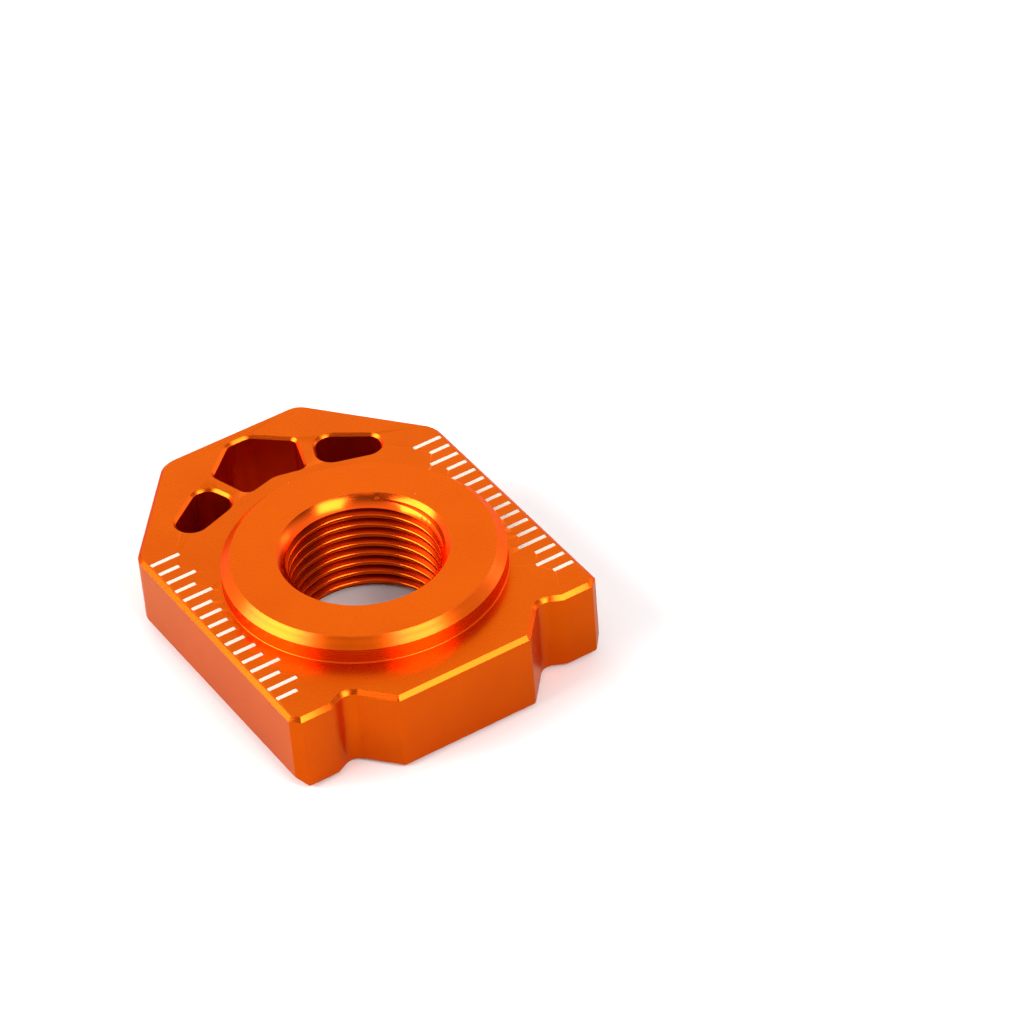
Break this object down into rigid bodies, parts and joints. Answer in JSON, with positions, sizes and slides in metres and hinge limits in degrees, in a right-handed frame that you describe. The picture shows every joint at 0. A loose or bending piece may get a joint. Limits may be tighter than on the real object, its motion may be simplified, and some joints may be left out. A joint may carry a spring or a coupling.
{
  "type": "motorcycle axle adjuster block",
  "caption": "Flat metal axle block with a raised threaded boss, lightening windows behind it, graduated edge marks and a flat pad for a chain adjuster screw.",
  "frame": {"origin": "on the axle bore's axis, at the plate's underside", "axes": "+Z along the bore, out of the raised boss; +X along the block, towards the pad that the adjuster screw bears on; +Y across the block"},
  "size_m": [0.0552, 0.0428, 0.0142],
  "materials": {
    "anodised_aluminium": "satin orange anodised, with bright turned and milled chamfers",
    "mark_paint": "cream paint in the engraved marks"
  },
  "bodies": {
    "root": {"axle_block": "anodised_aluminium"}
  },
  "joints": []
}
